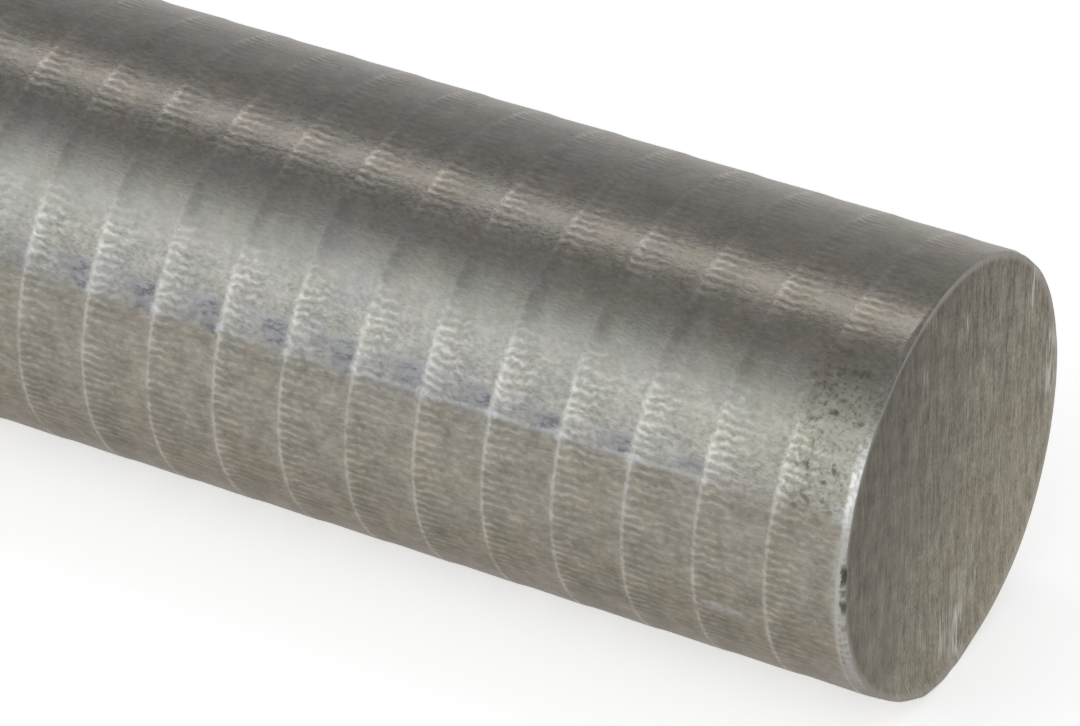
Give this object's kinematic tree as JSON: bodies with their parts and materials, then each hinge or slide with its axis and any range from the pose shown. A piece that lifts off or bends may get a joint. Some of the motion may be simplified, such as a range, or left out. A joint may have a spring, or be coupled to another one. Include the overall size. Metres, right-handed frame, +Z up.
{
  "type": "round metal bar",
  "caption": "Solid round steel bar, peeled to a smooth turned surface with fine spiral feed lines, and sawn square at both ends.",
  "frame": {"origin": "on the bar's axis, midway between its sawn ends", "axes": "+X along the bar's axis towards the sawn end that the picture shows, +Z up as the bar lies"},
  "size_m": [0.3048, 0.0508, 0.0508],
  "materials": {
    "bar_metal": "turned"
  },
  "bodies": {
    "root": {"round_bar": "bar_metal"}
  },
  "joints": []
}
